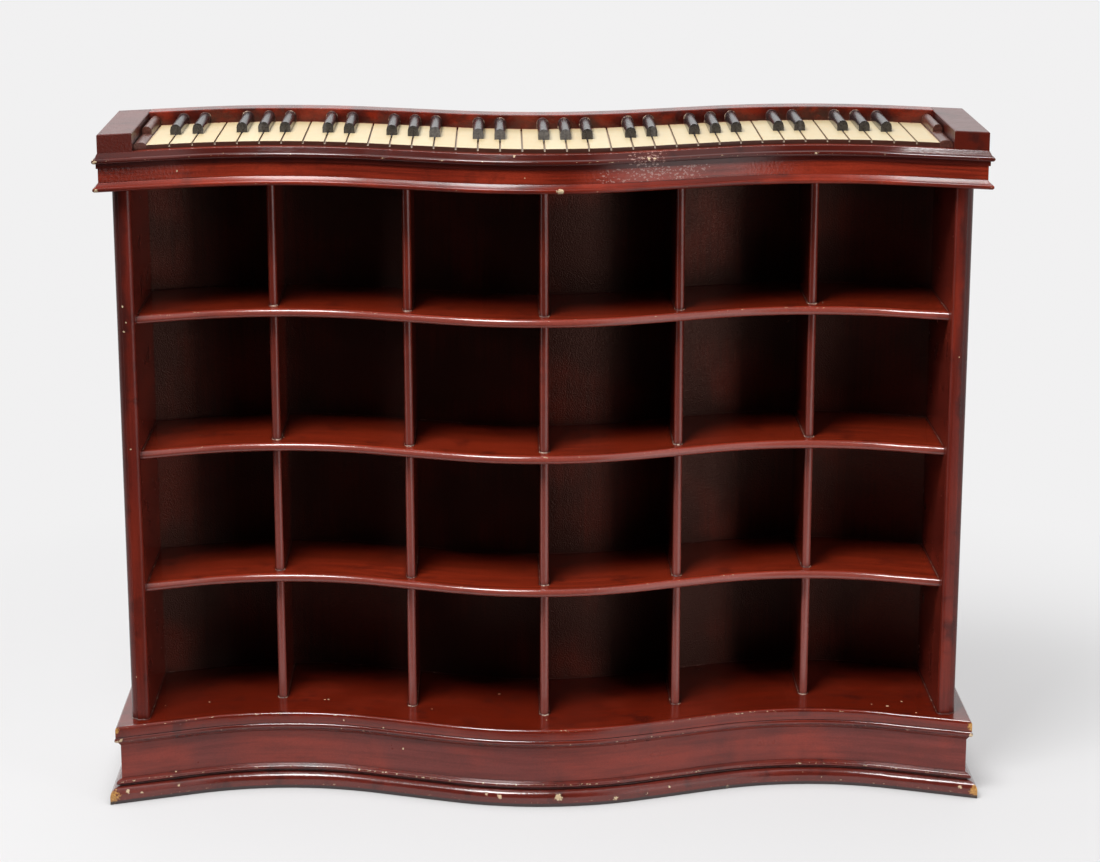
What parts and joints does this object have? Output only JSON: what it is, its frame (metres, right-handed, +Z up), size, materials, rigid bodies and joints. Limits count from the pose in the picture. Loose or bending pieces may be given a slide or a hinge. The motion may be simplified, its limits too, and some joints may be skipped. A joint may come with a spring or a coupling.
{
  "type": "display shelf",
  "caption": "Low wooden display shelf with a serpentine front and back, open compartments on a moulded plinth and a dummy piano keyboard set into its top.",
  "frame": {"origin": "on the floor, under the middle of the whole shelf", "axes": "+X along the shelf to its right seen from the front, +Y to its rear, +Z up"},
  "size_m": [0.9162, 0.2327, 0.7099],
  "materials": {
    "mahogany_finish": "deep red-brown stain under glossy varnish, brushed, worn at the arrises",
    "raw_wood": "bare sawn softwood",
    "cream_keys": "satin cream paint, brown on the front face",
    "black_keys": "satin black paint, rubbed grey on top",
    "brown_keys": "semi-gloss brown paint"
  },
  "bodies": {
    "root": {"plinth_front": "mahogany_finish", "plinth_rear": "mahogany_finish", "plinth_left": "mahogany_finish", "plinth_right": "mahogany_finish", "base_mould_front": "mahogany_finish", "base_mould_left": "mahogany_finish", "base_mould_right": "mahogany_finish", "plinth_bead_front": "mahogany_finish", "plinth_bead_left": "mahogany_finish", "plinth_bead_right": "mahogany_finish", "cornice_bead_front": "mahogany_finish", "cornice_bead_left": "mahogany_finish", "cornice_bead_right": "mahogany_finish", "cornice_mould_front": "mahogany_finish", "cornice_mould_left": "mahogany_finish", "cornice_mould_right": "mahogany_finish", "base_board": "mahogany_finish", "side_panel_left": "mahogany_finish", "side_panel_right": "mahogany_finish", "shelf_1": "mahogany_finish", "shelf_2": "mahogany_finish", "shelf_3": "mahogany_finish", "divider_1_1": "mahogany_finish", "divider_1_2": "mahogany_finish", "divider_1_3": "mahogany_finish", "divider_1_4": "mahogany_finish", "divider_1_5": "mahogany_finish", "divider_2_1": "mahogany_finish", "divider_2_2": "mahogany_finish", "divider_2_3": "mahogany_finish", "divider_2_4": "mahogany_finish", "divider_2_5": "mahogany_finish", "divider_3_1": "mahogany_finish", "divider_3_2": "mahogany_finish", "divider_3_3": "mahogany_finish", "divider_3_4": "mahogany_finish", "divider_3_5": "mahogany_finish", "divider_4_1": "mahogany_finish", "divider_4_2": "mahogany_finish", "divider_4_3": "mahogany_finish", "divider_4_4": "mahogany_finish", "divider_4_5": "mahogany_finish", "top_board": "mahogany_finish", "frieze_front": "mahogany_finish", "frieze_left": "mahogany_finish", "frieze_right": "mahogany_finish", "end_block_left": "mahogany_finish", "end_block_right": "mahogany_finish", "rear_rail": "mahogany_finish", "back_panel": "mahogany_finish", "frieze_rear": "mahogany_finish", "glue_blocks": "raw_wood", "key_bed": "raw_wood", "natural_keys": "cream_keys", "sharp_keys": "black_keys", "key_strip_left": "brown_keys", "key_strip_right": "brown_keys", "key_round_left": "brown_keys", "key_round_right": "brown_keys"}
  },
  "joints": []
}
